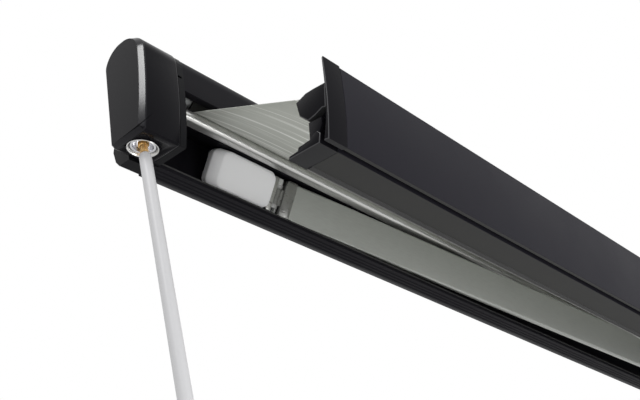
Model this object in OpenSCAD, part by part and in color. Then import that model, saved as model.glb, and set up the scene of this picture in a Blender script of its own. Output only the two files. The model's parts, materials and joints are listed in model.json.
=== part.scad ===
// Roll out awning with folding arms, shown partly open: a wall cassette with a wound fabric,
// two spring arms that fold flat behind a lead rail, and a hand crank that drives a worm gear.
// X runs along the wall, +Y points to the wall, Z is up. The origin lies on the wall face.

/* [Overall] */
// Length over the two end covers
overall_length = 2600; // [2450:10:3200]
// Depth of the closed cassette, from the wall to the front of a cover
cassette_depth = 101; // [99:0.5:104]
// Height of the cassette's top above the wall face's centre
cassette_top = 100; // [97:0.5:103]
// Depth of the cassette's bottom below the wall face's centre
cassette_bottom = 60; // [60:0.5:63]

/* [Cassette] */
// Wall of the cassette's extrusion
casing_wall = 2.4; // [1.8:0.1:3]
// Width of an outer end cover
cover_width = 52; // [48:1:58]
// Wall of an outer end cover
cover_wall = 3; // [2:0.1:3.2]
// Chamfer round a cover's outer face
cover_chamfer = 6; // [4:0.5:8]
// Thickness of an end plate
plate_thickness = 8.5; // [7:0.5:12]
// Distance from a cover's outer face to the crank's axis
crank_inset = 25; // [24:0.5:27]
// Distance from the wall to the crank's axis
crank_reach = 68; // [67:0.5:69]
// Radius of the bolt holes in the wall face
bolt_hole_r = 4.25; // [3:0.25:5]
// Spacing of the wall bolts along the awning
bolt_spacing_x = 100; // [60:5:160]
// Spacing of the wall bolts in height
bolt_spacing_z = 60; // [50:2:64]
// Distance of each bolt group from the middle of the awning
bolt_group_x = 800; // [600:10:900]

/* [Roller] */
// Outer radius of the roller tube
tube_r = 25; // [22:0.5:27]
// Wall of the roller tube
tube_wall = 1.5; // [1:0.1:2.5]
// Radius of the fabric wound on the tube
wound_r = 28.5; // [28:0.1:29.5]
// Distance from the wall to the roller's axis
roller_reach = 36.8; // [36.5:0.1:37]
// Height of the roller's axis
roller_height = 58; // [57:0.25:60]
// Radius of the roller's journals
journal_r = 9; // [7:0.5:11]
// Distance from a cover's outer face to the fabric's edge
fabric_inset = 92; // [80:1:110]
// Thickness of the fabric
fabric_thickness = 0.8; // [0.4:0.1:1.2]
// Radius of the fabric guide's round nose
guide_r = 7; // [6.5:0.25:7.5]

/* [Winding gear] */
// Teeth on the worm wheel
wheel_teeth = 19; // [19:1:19]
// Height of a gear tooth above the pitch circle
tooth_height = 1; // [0.8:0.05:1]
// Width of the worm wheel's rim
wheel_width = 6; // [4:0.5:7]
// Radius of the worm's core
worm_core_r = 4; // [3:0.1:4]
// Outer radius of the steel collar round the crank's eye
collar_r = 17.5; // [15:0.25:18]

/* [Arms] */
// Slope of the awning below the horizontal
pitch = 23; // [22.5:0.1:23.5]
// Distance from an elbow's pivot to the middle of the awning
elbow_clearance = 35; // [30:1:60]
// Height of the arm profile
arm_height = 52; // [44:1:53]
// Height of the forearm's profile, which lies level with the top of the upper one
forearm_height = 24; // [22:1:28]
// Thickness of the arm profile
arm_thickness = 16; // [14:0.5:16]
// Wall of the arm profile
arm_wall = 2; // [1.5:0.1:3]
// Distance from a cover's outer face to the shoulder pivot
shoulder_inset = 260; // [240:5:280]
// Distance of the shoulder pivot from the wall, along the slope
shoulder_reach = 23; // [23:0.25:24]
// Radius of the pivot pins
pin_r = 5; // [4:0.25:6]
// Play between a pin and the bore that turns on it
pin_play = 0.06; // [0.02:0.01:0.1]
// How far the lead rail stands out from its closed place
opened_by = 239; // [220:1:300]

/* [Lead rail] */
// Height of the lead rail's front panel
panel_height = 99; // [95:0.5:101]
// How far the lead rail sits above the line through the arms
rail_raise = 4; // [3:0.5:4.5]
// Thickness of a lead rail's end cap
rail_cap = 9; // [6:0.5:14]

/* [Crank] */
// Radius of the crank's tube
rod_r = 8; // [7:0.25:9]
// Length of the crank's tube
rod_length = 1180; // [900:10:1400]
// Lean of the crank away from the vertical
rod_lean = 21; // [15:1:25]
// Throw of the crank's handle
handle_throw = 160; // [120:5:200]

/* [Hidden] */

anthracite = [0.13, 0.13, 0.14];
black = [0.06, 0.06, 0.065];
silver = [0.66, 0.67, 0.66];
arm_grey = [0.55, 0.57, 0.54];
pale_grey = [0.78, 0.78, 0.79];
steel = [0.75, 0.75, 0.76];
brass = [0.78, 0.58, 0.25];
white = [0.92, 0.92, 0.92];
cloth = [0.66, 0.67, 0.64];

// Radius of a polygon of 64 sides whose flats lie at r
function snug(r) = r / cos(180 / 64);
cover_screw_r = 2;
screw_depth = 22;
// Gap between pieces of different bodies that pass or face each other
gap = 0.3;
overlap = 0.01;

// Places along the awning, all on the left half
left_end = -overall_length / 2;
cover_inner = left_end + cover_width;
plate_outer = cover_inner + gap;
plate_inner = plate_outer + plate_thickness;
crank_x = left_end + crank_inset;
shoulder_x = left_end + shoulder_inset;
fabric_x = left_end + fabric_inset;
rail_x = plate_inner + 0.7;
// Distance between the pivots of an arm's profile
arm_length = overall_length / 2 - shoulder_inset - elbow_clearance;

// The points of a quadratic curve between the parameters t0 and t1
function bend(a, b, c, t0, t1, n) =
  [for (i = [0:n]) let (t = t0 + (t1 - t0) * i / n)
    (1 - t) * (1 - t) * a + 2 * t * (1 - t) * b + t * t * c];
// The points of an arc round a centre
function arc(centre, r, a0, a1, n) =
  [for (i = [0:n]) let (a = a0 + (a1 - a0) * i / n) centre + r * [cos(a), sin(a)]];
function turned(v) = [-v[1], v[0]] / norm(v);
function reversed(p) = [for (i = [len(p) - 1:-1:0]) p[i]];
// A closed outline moved to its own left by d, which is inwards when it runs anticlockwise
function inset(p, d) =
  [for (i = [0:len(p) - 1])
    let (m = turned(p[i] - p[(i + len(p) - 1) % len(p)]), n = turned(p[(i + 1) % len(p)] - p[i]))
    p[i] + d * (m + n) / (1 + m * n)];
// An open path moved to its own left by d
function beside(p, d) =
  [for (i = [0:len(p) - 1])
    let (last = len(p) - 1,
         m = turned(i == 0 ? p[1] - p[0] : p[i] - p[i - 1]),
         n = turned(i == last ? p[last] - p[last - 1] : p[i + 1] - p[i]))
    p[i] + d * (m + n) / (1 + m * n)];
// The outline of a wall of thickness t on the left of an open path
function wall(p, t) = concat(p, reversed(beside(p, t)));

// Shape of the cassette, as points in Y and Z
crown_r = 44;
heel_r = 25;
crown_centre = [-34, cassette_top - crown_r];
heel_centre = [-heel_r, cassette_top - heel_r];
heel_lean = 18;
front_foot = [-cassette_depth, -cassette_bottom + 2];
front_top = crown_centre + crown_r * [cos(166), sin(166)];
front_pull = [-cassette_depth + 4.2, -4];
cover_outline = concat(
  [[-45.5, -cassette_bottom], [-41.5, -cassette_bottom + 2]],
  arc(heel_centre, heel_r, -heel_lean, 90, 8),
  arc(crown_centre, crown_r, 90, 166, 8),
  bend(front_top, front_pull, front_foot, 0.1, 1, 8),
  [front_foot + [2, -2]]
);
// The casing's skin starts at the hood's lip and runs over the top and down the wall face
hood_skin = 1.5;
lip_at = 0.27;
wall_top = cassette_top - heel_r - 8;
wall_foot = -cassette_bottom + 18;
lip_front = -47.5;
casing_path = concat(
  reversed(beside(bend(front_top, front_pull, front_foot, 0.1, lip_at, 4), hood_skin)),
  reversed(arc(crown_centre, crown_r - hood_skin, 90, 166, 8)),
  reversed(arc(heel_centre, heel_r - hood_skin, 0, 90, 8)),
  [[0, wall_top - 6], [0, wall_foot], [-5, wall_foot - 12], [-16, -cassette_bottom + 1.5],
   [-22, -cassette_bottom]],
  [for (i = [0:2]) each [[-24 - 7 * i, -cassette_bottom], [-25 - 7 * i, -cassette_bottom + 0.8],
    [-27 - 7 * i, -cassette_bottom + 0.8], [-28 - 7 * i, -cassette_bottom]]],
  [[lip_front, -cassette_bottom], [lip_front - 1, -cassette_bottom + 4]]
);
// Shelf above the arms, parallel to their plane
shelf_offset = arm_height / 2 + 3;
function shelf_z(y) = (shelf_offset + y * sin(pitch)) / cos(pitch);
guide_centre = [-58.5, 18.2];

module along_x(x0, length) {
  translate([x0, 0, 0]) rotate([90, 0, 90]) linear_extrude(length) children();
}
module on_both_sides() {
  children();
  mirror([1, 0, 0]) children();
}
// The arms' plane: X stays, Y runs up the slope to the wall and Z stands square to the slope
module in_arm_plane() {
  rotate([pitch, 0, 0]) children();
}
module x_rod(x0, length, r) {
  translate([x0, 0, 0]) rotate([0, 90, 0]) cylinder(h = length, r = r, $fn = 64);
}

module wall_bolt_holes() {
  for (side = [-1, 1], dx = [-0.5, 0.5], dz = [-0.5, 0.5])
    translate([side * bolt_group_x + dx * bolt_spacing_x, 5, dz * bolt_spacing_z])
      rotate([90, 0, 0]) cylinder(h = 15, r = bolt_hole_r, $fn = 32);
}
module casing() {
  color(anthracite) difference() {
    along_x(plate_inner, -2 * plate_inner) union() {
      polygon(wall(casing_path, -casing_wall));
      polygon([[-1, shelf_z(-1)], [-50, shelf_z(-50)], [-50, shelf_z(-50) + casing_wall],
               [-1, shelf_z(-1) + casing_wall]]);
    }
    wall_bolt_holes();
    on_both_sides() foot_screw_places()
      translate([0, 0, -1]) cylinder(h = casing_wall + 2, r = screw_r, $fn = 32);
  }
}
module fabric_guide() {
  color(silver) along_x(plate_inner, -2 * plate_inner) union() {
    polygon(arc(guide_centre, guide_r, 60, 320, 26));
    polygon([guide_centre + [0, -guide_r + 0.4], [-50, guide_centre[1] - guide_r + 0.2],
             [-50, shelf_z(-50) + casing_wall], [-38, shelf_z(-38) + casing_wall],
             [-38, shelf_z(-38) + casing_wall + 2], [-50, guide_centre[1]],
             guide_centre + [0, guide_r - 0.4]]);
  }
}

// An end plate has the cover's outline, a little smaller, and closes the casing's back corner
plate_outline = inset(cover_outline, 0.8);
plate_rear = [
  [-47, -cassette_bottom - 1], [-21, -cassette_bottom - 2.5], [-12, -cassette_bottom + 6],
  [-3, -cassette_bottom + 23], [0, wall_foot + 12], [0, wall_top - 6], [-1.5, heel_centre[1]],
  [-30, heel_centre[1]], [-47, wall_foot]
];
// The gear case fills the corner between the cover's leaning back and the wall
gear_case_outline = [
  [-41, -cassette_bottom - 2.5], [-21, -cassette_bottom - 2.5], [-12, -cassette_bottom + 6],
  [-3, -cassette_bottom + 23], [-0.5, 50], [-5.6, 50]
];
module end_plate() {
  difference() {
    union() {
      along_x(plate_outer, plate_thickness) {
        polygon(plate_outline);
        polygon(plate_rear);
      }
      along_x(crank_x, cover_inner - crank_x + gap + overlap) polygon(gear_case_outline);
    }
    translate([plate_outer - 1, -roller_reach, roller_height])
      rotate([0, 90, 0]) cylinder(h = plate_thickness + 2, r = journal_r + 3, $fn = 64);
    cover_screw_holes();
    // Slot that shows in the plate's front edge
    translate([plate_outer - 1, -92, 46.5]) cube([plate_thickness - 2, 15, 3.5]);
  }
}
module left_end_plate() { color(black) end_plate(); }
module right_end_plate() { color(black) mirror([1, 0, 0]) end_plate(); }

// The outer face draws in widely at the front and below, and barely at the back
module face_outline(share) {
  intersection() {
    polygon(inset(cover_outline, share));
    translate(share * [7, 3]) polygon(cover_outline);
  }
}
// A cover, open towards the plate
module cover_shell() {
  difference() {
    hull() {
      along_x(left_end + cover_chamfer, cover_width - cover_chamfer) polygon(cover_outline);
      along_x(left_end + cover_chamfer * 0.3, 1) face_outline(0.3);
      along_x(left_end, 1) face_outline(1);
    }
    along_x(left_end + cover_wall + 1.5, cover_width) polygon(inset(cover_outline, cover_wall));
  }
}
// Screws that hold a cover, in Y and Z
cover_screw_places = [[-46, -40], [-30, 4], [-36, 92]];
module at_cover_screws() {
  for (p = cover_screw_places) translate([0, p[0], p[1]]) children();
}
module cover_posts() {
  at_cover_screws() x_rod(left_end + cover_wall, cover_width - cover_wall, 4);
}
module cover_screw_holes() {
  at_cover_screws() x_rod(cover_inner - screw_depth, screw_depth + 30, snug(cover_screw_r));
}
module winder_cover() {
  color(black) difference() {
    union() {
      cover_shell();
      cover_posts();
      // Seat of the collar and the bearing above the worm
      translate([crank_x, -crank_reach, -cassette_bottom]) cylinder(h = 16, r = 20, $fn = 64);
      translate([crank_x, -crank_reach, bearing_z]) cylinder(h = bearing_height, r = 5.6, $fn = 48);
    }
    translate([crank_x, -crank_reach, -cassette_bottom - 1])
      cylinder(h = 7, r = snug(collar_r), $fn = 64);
    translate([crank_x, -crank_reach, -cassette_bottom - 1])
      cylinder(h = 20, r = collar_r - 2.5, $fn = 64);
    translate([crank_x, -crank_reach, bearing_z - 1])
      cylinder(h = bearing_height + 2, r = snug(worm_core_r + pin_play / 2), $fn = 64);
    cover_screw_holes();
  }
}
module idler_cover() {
  color(black) mirror([1, 0, 0]) difference() {
    union() {
      cover_shell();
      cover_posts();
    }
    cover_screw_holes();
  }
}
module eye_collar() {
  color(steel) translate([crank_x, -crank_reach, -cassette_bottom - 1.2]) difference() {
    union() {
      cylinder(h = 1.2, r = collar_r + 1.2, $fn = 96);
      cylinder(h = 7.2, r = collar_r, $fn = 96);
    }
    translate([0, 0, -1]) cylinder(h = 10, r = collar_r - 2.8, $fn = 96);
  }
}
module roller_bushes() {
  color(pale_grey) on_both_sides()
    translate([plate_outer, -roller_reach, roller_height]) rotate([0, 90, 0]) difference() {
      cylinder(h = plate_thickness, r = journal_r + 3, $fn = 64);
      translate([0, 0, -1])
        cylinder(h = plate_thickness + 2, r = journal_r + pin_play, $fn = 64);
    }
}
// Screws that hold the covers, driven from inside through the end plates
module cover_screws() {
  color(steel) on_both_sides() at_cover_screws() {
    x_rod(cover_inner - screw_depth, screw_depth + plate_inner - cover_inner, cover_screw_r);
    x_rod(plate_inner, 2.5, 3.6);
  }
}
// Blocks on the cassette's lower lip, which carry the closed lead rail
block_xs = [-800, -480, -160, 160, 480, 800];
lip_floor = -cassette_bottom + casing_wall + 0.8;
module support_blocks() {
  color(arm_grey) for (x = block_xs) along_x(x - 24, 48)
    polygon([[-44.5, lip_floor], [-24, lip_floor], [-30, lip_floor + 6.6], [-40, lip_floor + 8],
             [-44.5, lip_floor + 5]]);
}
// Rubber bead along the upper edge of the lower lip
module lip_seal() {
  bead = -cassette_bottom + 4;
  color(black) along_x(plate_inner, -2 * plate_inner)
    polygon([[-48.5, bead], [-46.17, bead + 0.59], [-46.3, bead + 2.4], [-47.3, bead + 3],
             [-48.4, bead + 2.2]]);
}

// Folding arms. Angles are those of an arm's profile against the wall
reach_step = arm_thickness + 1.6;
wrist_closed = shoulder_reach + reach_step;
fold_angle = asin((wrist_closed + opened_by - shoulder_reach) / (2 * arm_length));
closed_angle = asin(reach_step / (2 * arm_length));
eye_height = 22;
ear = 5;
ear_gap = 0.4;
eye_r = 11.6;
// The elbow and the wrist lie in the middle of the forearm's height
fore_k = (arm_height - forearm_height) / 2;
fore_eye = 16;
fore_ear = 4;
fore_reach = fore_eye / 2 + ear_gap + fore_ear;

// An arm's turn away from its folded place
swing = fold_angle - closed_angle;
half_step = reach_step / 2;
span = round(100 * arm_length * cos(closed_angle)) / 100;
// Distance from a pivot to the end of the profile, and how deep a casting sits in the profile
profile_start = 27;
plug_depth = 30;
band = 8;

// Places an arm piece drawn from its shoulder along +X, with the elbow at [span, -half_step]
module upper_arm_place() {
  in_arm_plane() translate([shoulder_x, -shoulder_reach, 0]) rotate([0, 0, -swing]) children();
}
// Places an arm piece drawn from its wrist along +X, with the elbow at [span, half_step]
module fore_arm_place() {
  in_arm_plane()
    translate([shoulder_x, -wrist_closed - opened_by, fore_k]) rotate([0, 0, swing]) children();
}
module rounded_bar(length, height, thickness, r) {
  y = thickness / 2 - r;
  z = height / 2 - r;
  along_x(0, length) polygon(concat(
    arc([y, -z], r, -90, 0, 5), arc([y, z], r, 0, 90, 5),
    arc([-y, z], r, 90, 180, 5), arc([-y, -z], r, 180, 270, 5)));
}
module arm_profile(height) {
  translate([profile_start, 0, 0]) difference() {
    rounded_bar(span - 2 * profile_start, height, arm_thickness, 3);
    translate([-1, 0, 0])
      rounded_bar(span, height - 2 * arm_wall, arm_thickness - 2 * arm_wall, 3 - arm_wall / 2);
  }
}
// The end of a casting that closes the profile, and its tongue inside
module casting_root(height) {
  translate([profile_start - band, 0, 0]) rounded_bar(band, height, arm_thickness, 3);
  translate([profile_start - overlap, 0, 0])
    rounded_bar(plug_depth, height - 2 * arm_wall - 0.2, arm_thickness - 2 * arm_wall - 0.2, 2);
}
// A plate from the root of a casting to its pivot, which lies beside the profile's middle line
module lug(pivot_y, thickness) {
  half = arm_thickness / 2 - 2;
  linear_extrude(thickness) polygon([[0, pivot_y - half], [profile_start - band + 1, -half],
    [profile_start - band + 1, half], [0, pivot_y + half]]);
  translate([0, pivot_y, 0]) cylinder(h = thickness, r = half + 2, $fn = 64);
}
// A casting with one thick eye
module eye_casting(pivot_y, height, eye) {
  difference() {
    union() {
      translate([0, 0, -eye / 2]) lug(pivot_y, eye);
      casting_root(height);
    }
    translate([0, pivot_y, 0])
      cylinder(h = eye + 20, r = pin_r + pin_play, center = true, $fn = 64);
  }
}
// The upper arm's casting at the elbow, with two ears round the forearm's eye
module fork_casting(pivot_y) {
  difference() {
    union() {
      translate([0, 0, fore_k]) for (s = [0, 1]) mirror([0, 0, s])
        translate([0, 0, fore_eye / 2 + ear_gap]) lug(pivot_y, fore_ear);
      casting_root(arm_height);
    }
    translate([0, pivot_y, 0]) cylinder(h = 100, r = pin_r, center = true, $fn = 64);
  }
}
// A pin with flat heads, which joins the forearm's eyes to their forks
module fore_pin() {
  cylinder(h = 2 * fore_reach, r = pin_r, center = true, $fn = 64);
  for (s = [0, 1]) mirror([0, 0, s])
    translate([0, 0, fore_reach]) cylinder(h = 1.6, r = pin_r + 2, $fn = 64);
}
// The same castings at the far end of an arm
module from_far_end() { translate([span, 0, 0]) mirror([1, 0, 0]) children(); }

module upper_profile() { upper_arm_place() arm_profile(arm_height); }
module upper_knuckle() { upper_arm_place() eye_casting(0, arm_height, eye_height); }
module elbow_fork() { upper_arm_place() from_far_end() fork_casting(-half_step); }
module elbow_pin() { upper_arm_place() translate([span, -half_step, fore_k]) fore_pin(); }
module fore_profile() { fore_arm_place() arm_profile(forearm_height); }
module elbow_eye() {
  fore_arm_place() from_far_end() eye_casting(half_step, forearm_height, fore_eye);
}
module wrist_eye() { fore_arm_place() eye_casting(0, forearm_height, fore_eye); }

module left_upper_profile() { color(arm_grey) upper_profile(); }
module left_upper_knuckle() { color(silver) upper_knuckle(); }
module left_elbow_fork() { color(silver) elbow_fork(); }
module left_elbow_pin() { color(steel) elbow_pin(); }
module left_fore_profile() { color(arm_grey) fore_profile(); }
module left_elbow_eye() { color(silver) elbow_eye(); }
module left_wrist_eye() { color(silver) wrist_eye(); }
module right_upper_profile() { color(arm_grey) mirror([1, 0, 0]) upper_profile(); }
module right_upper_knuckle() { color(silver) mirror([1, 0, 0]) upper_knuckle(); }
module right_elbow_fork() { color(silver) mirror([1, 0, 0]) elbow_fork(); }
module right_elbow_pin() { color(steel) mirror([1, 0, 0]) elbow_pin(); }
module right_fore_profile() { color(arm_grey) mirror([1, 0, 0]) fore_profile(); }
module right_elbow_eye() { color(silver) mirror([1, 0, 0]) elbow_eye(); }
module right_wrist_eye() { color(silver) mirror([1, 0, 0]) wrist_eye(); }

// Shoulder bracket: two ears round the knuckle, on a foot that is screwed to the wall face
foot_screws = [[-85, 20], [-40, 20], [-85, -36], [-40, -36]];
foot_face = 6.4;
screw_r = 3;
module bracket_foot() {
  along_x(shoulder_x - 100, 78) polygon([
    [-casing_wall, -41.5], [-casing_wall, 26], [-foot_face, 26], [-foot_face, 14], [-20, 10.5],
    [-9, -21], [-foot_face, -27], [-foot_face, -41.5]]);
}
module foot_screw_places() {
  for (p = foot_screws) translate([shoulder_x + p[0], 0, p[1]]) rotate([90, 0, 0]) children();
}
module shoulder_bracket() {
  inner = eye_height / 2 + ear_gap;
  difference() {
    union() {
      in_arm_plane() translate([shoulder_x, -shoulder_reach, 0]) {
        for (s = [0, 1]) mirror([0, 0, s]) translate([0, 0, inner]) {
          cylinder(h = ear, r = eye_r - 3, $fn = 64);
          translate([-60, -6, 0]) cube([60, 14, ear]);
        }
        translate([-100, -6, -inner - ear]) cube([78, 14, 2 * (inner + ear)]);
      }
      bracket_foot();
    }
    in_arm_plane() translate([shoulder_x, -shoulder_reach, 0])
      cylinder(h = 100, r = pin_r, center = true, $fn = 64);
    foot_screw_places() cylinder(h = 12, r = screw_r, $fn = 32);
  }
}
module bracket_screws() {
  color(steel) on_both_sides() foot_screw_places() {
    cylinder(h = foot_face, r = screw_r, $fn = 32);
    translate([0, 0, foot_face]) cylinder(h = 2.5, r = screw_r + 2, $fn = 32);
  }
}
module shoulder_pins() {
  color(steel) on_both_sides() in_arm_plane() translate([shoulder_x, -shoulder_reach, 0]) {
    cylinder(h = eye_height + 2 * (ear + ear_gap), r = pin_r, center = true, $fn = 64);
    for (s = [0, 1]) mirror([0, 0, s])
      translate([0, 0, eye_height / 2 + ear + ear_gap]) cylinder(h = 8, r = pin_r + 3, $fn = 64);
  }
}
// Moulded cover over the bracket, in front of its block
module shoulder_cover() {
  h = arm_height - 2;
  difference() {
    in_arm_plane() translate([shoulder_x, -shoulder_reach, 0]) difference() {
      along_x(-112, 95) polygon(concat(
        arc([-8, -h / 2 + 6], 6, 180, 270, 6), [[8, -h / 2], [8, h / 2]],
        arc([-8, h / 2 - 6], 6, 90, 180, 6)));
      translate([-102, -9, -eye_height / 2 - ear - 1]) cube([200, 40, eye_height + 2 * ear + 2]);
      for (s = [-1, 1]) translate([-112, -14, s * h / 2]) rotate([0, 0, 35])
        cube([16, 40, 10], center = true);
    }
    bracket_foot();
    along_x(shoulder_x - 200, 300) translate([-casing_wall, -100]) square([20, 200]);
  }
}
module left_shoulder_bracket() { color(silver) shoulder_bracket(); }
module right_shoulder_bracket() { color(silver) mirror([1, 0, 0]) shoulder_bracket(); }
module left_shoulder_cover() { color(pale_grey) shoulder_cover(); }
module right_shoulder_cover() { color(pale_grey) mirror([1, 0, 0]) shoulder_cover(); }

// Roller with its wound fabric, plugs and worm wheel
worm_pitch_r = 5.2;
wheel_r = crank_reach - roller_reach - worm_pitch_r;
module at_roller() { translate([0, -roller_reach, roller_height]) children(); }
roll_length = -2 * fabric_x;
tube_x = plate_inner + 3;
module roller_tube() {
  color(silver) at_roller() difference() {
    x_rod(tube_x, -2 * tube_x, tube_r);
    x_rod(tube_x - 1, -2 * tube_x + 2, tube_r - tube_wall);
  }
}
module wound_fabric() {
  color(cloth) at_roller() difference() {
    x_rod(fabric_x, roll_length, wound_r);
    x_rod(fabric_x - 1, roll_length + 2, tube_r);
  }
}
module roller_plug() {
  at_roller() {
    x_rod(tube_x, 40, tube_r - tube_wall);
    x_rod(tube_x - 1.5, 1.5, tube_r);
    x_rod(plate_outer, tube_x - plate_outer, journal_r);
  }
}
module winder_plug() {
  color(silver) union() {
    roller_plug();
    at_roller() x_rod(crank_x - wheel_width / 2 - 2, plate_outer - crank_x + 8, 6);
  }
}
module idler_plug() { color(silver) mirror([1, 0, 0]) roller_plug(); }
module worm_wheel() {
  pitch_angle = 360 / wheel_teeth;
  root_r = wheel_r - tooth_height - 0.4;
  tip_r = wheel_r + tooth_height;
  half_tip = 1.1;
  half_root = 1.95;
  color(brass) at_roller() difference() {
    along_x(crank_x - wheel_width / 2, wheel_width) union() {
      circle(r = root_r, $fn = 96);
      for (i = [0:wheel_teeth - 1]) rotate(180 + (i + 0.5) * pitch_angle)
        polygon([[root_r - 0.5, -half_root], [tip_r, -half_tip], [tip_r, half_tip],
                 [root_r - 0.5, half_root]]);
    }
    x_rod(crank_x - 20, 40, 6);
  }
}
// Worm: its thread faces the wheel at the height of the roller's axis
thread_pitch = 2 * PI * wheel_r / wheel_teeth;
thread_length = 1.6 * thread_pitch;
bearing_z = roller_height + 10;
bearing_height = 4;
module worm_shaft() {
  thread_tip = worm_core_r + 1.8;
  cup_foot = -cassette_bottom + 2;
  color(steel) translate([crank_x, -crank_reach, 0]) {
    translate([0, 0, cup_foot + 11])
      cylinder(h = bearing_z + bearing_height - cup_foot - 11, r = worm_core_r, $fn = 64);
    difference() {
      translate([0, 0, cup_foot]) cylinder(h = 12, r = collar_r - 3, $fn = 64);
      translate([0, 0, cup_foot - 1]) cylinder(h = 11, r = collar_r - 5.5, $fn = 64);
    }
    translate([0, 0, roller_height - thread_length / 2])
      rotate(90 - 180 * thread_length / thread_pitch)
        linear_extrude(thread_length, twist = -360 * thread_length / thread_pitch, slices = 40)
          polygon(concat([[worm_core_r * 0.4, 0]], arc([0, 0], worm_core_r - 0.2, -62, -62, 1),
            arc([0, 0], thread_tip, -34, 34, 4), arc([0, 0], worm_core_r - 0.2, 62, 62, 1)));
  }
}

// Crank: a brass hook in the eye, a long tube, a bend and two grips
hook_z = -cassette_bottom + 5;
module crank_place() {
  translate([crank_x, -crank_reach, hook_z]) rotate([-rod_lean, 0, 0]) children();
}
rod_start = 17;
module crank_hook() {
  color(brass) crank_place() {
    sphere(r = 6.5, $fn = 48);
    translate([0, 0, -rod_start - 30]) cylinder(h = rod_start + 30, r = 4.8, $fn = 48);
  }
}
module crank_rod() {
  color(white) crank_place() difference() {
    union() {
      translate([0, 0, -rod_start - rod_length]) cylinder(h = rod_length - 6, r = rod_r, $fn = 64);
      translate([0, 0, -rod_start - 6.01]) cylinder(h = 6.01, r1 = rod_r, r2 = rod_r - 2.2, $fn = 64);
    }
    translate([0, 0, -rod_start - 30]) cylinder(h = 40, r = 4.8, $fn = 48);
    translate([0, 0, -rod_start - rod_length - 1]) cylinder(h = rod_length - 40, r = rod_r - 1.2, $fn = 48);
  }
}
bend_r = 34;
bend_tube_r = rod_r - 1.3;
rod_end = -rod_start - rod_length;
module quarter_bend(start) {
  rotate([90, 0, 0]) rotate([0, 0, start]) rotate_extrude(angle = 90, $fn = 96)
    translate([bend_r, 0]) circle(r = bend_tube_r, $fn = 32);
}
module crank_bend() {
  color(white) crank_place() translate([0, 0, rod_end - 8]) {
    cylinder(h = 48, r = bend_tube_r, $fn = 48);
    translate([-bend_r, 0, 0]) quarter_bend(-90);
    translate([-handle_throw + bend_r, 0, -bend_r]) rotate([0, 90, 0])
      cylinder(h = handle_throw - 2 * bend_r, r = bend_tube_r, $fn = 48);
    translate([-handle_throw + bend_r, 0, -2 * bend_r]) quarter_bend(90);
    translate([-handle_throw, 0, -2 * bend_r - 130]) cylinder(h = 130, r = bend_tube_r, $fn = 48);
  }
}
module grip(length) {
  difference() {
    union() {
      cylinder(h = length, r = 12, $fn = 48);
      for (i = [1:5]) translate([0, 0, i * length / 6 - 2]) cylinder(h = 4, r = 12.8, $fn = 48);
    }
    translate([0, 0, -1]) children();
  }
}
module rod_grip() {
  color(black) crank_place() translate([0, 0, rod_end + 60])
    grip(120) cylinder(h = 122, r = rod_r + pin_play, $fn = 48);
}
module handle_grip() {
  color(black) crank_place() translate([-handle_throw, 0, rod_end - 8 - 2 * bend_r - 128])
    grip(115) cylinder(h = 117, r = bend_tube_r + pin_play, $fn = 48);
}

// Lead rail, drawn closed and moved out down the slope
module lead_place() {
  translate([0, -opened_by * cos(pitch), -opened_by * sin(pitch) + rail_raise])
    children();
}
panel_foot = [-103.5, -cassette_bottom - 1.5];
panel_top = [-95, -cassette_bottom - 1.5 + panel_height];
panel_path = bend(panel_top, [-104, -14], panel_foot, 0, 1, 10);
rail_outline = concat(
  reversed(panel_path),
  [panel_top + [3.2, 0.6], [-98, 4], [-82.5, 5], [-72, 5], [-58.5, 0], [-64, -18],
   [-76, -29], [-78, -51], [-63, -52.5], [-62, -56], [-51, -57], [-49.5, -60.5],
   [-92, -60.5], [-94, -57.5], [-96.5, -57.5], [-97, -60]]
);
rail_hollow = [[-82, 2.5], [-73, 2], [-64, -2], [-67.5, -15], [-79.5, -26.5], [-81, -54],
  [-93, -54], [-96, -45], [-98.2, -20], [-96, 0]];
module lead_profile() {
  color(anthracite) lead_place() along_x(rail_x + rail_cap, -2 * (rail_x + rail_cap))
    difference() {
      polygon(rail_outline);
      polygon(reversed(rail_hollow));
    }
}
module lead_cap() {
  lead_place() {
    along_x(rail_x, rail_cap) polygon(rail_outline);
    along_x(rail_x + rail_cap, 25) polygon(inset(reversed(rail_hollow), 0.3));
  }
}
module lead_cap_left() { color(black) lead_cap(); }
module lead_cap_right() { color(black) mirror([1, 0, 0]) lead_cap(); }
module lip_strip() {
  color(black) lead_place() along_x(rail_x + rail_cap + 2, -2 * (rail_x + rail_cap + 2))
    polygon([[-58, -60.5], [-50.2, -60.5], [-50.2, -61.6], [-58, -61.4]]);
}
// Wrist bracket: ears round the forearm's eye, on a foot that fills the rail's rear channel
module wrist_bracket() {
  difference() {
    union() {
      in_arm_plane() translate([shoulder_x, -wrist_closed - opened_by, fore_k])
        for (s = [0, 1]) mirror([0, 0, s]) translate([0, 0, fore_eye / 2 + ear_gap]) {
          cylinder(h = fore_ear, r = eye_r - 3, $fn = 64);
          translate([-10, -10.4, 0]) cube([20, 10.4, fore_ear]);
        }
      lead_place() along_x(shoulder_x - 10, 20)
        polygon([[-58.5, 0], [-64, -18], [-72, -25.33], [-50, -28], [-45.87, -23.9],
                 [-56.34, 0.77]]);
    }
    in_arm_plane() translate([shoulder_x, -wrist_closed - opened_by, 0])
      cylinder(h = 100, r = pin_r, center = true, $fn = 64);
  }
}
module left_wrist_bracket() { color(silver) wrist_bracket(); }
module right_wrist_bracket() { color(silver) mirror([1, 0, 0]) wrist_bracket(); }
module wrist_pins() {
  color(steel) on_both_sides() in_arm_plane()
    translate([shoulder_x, -wrist_closed - opened_by, fore_k]) fore_pin();
}

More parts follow.
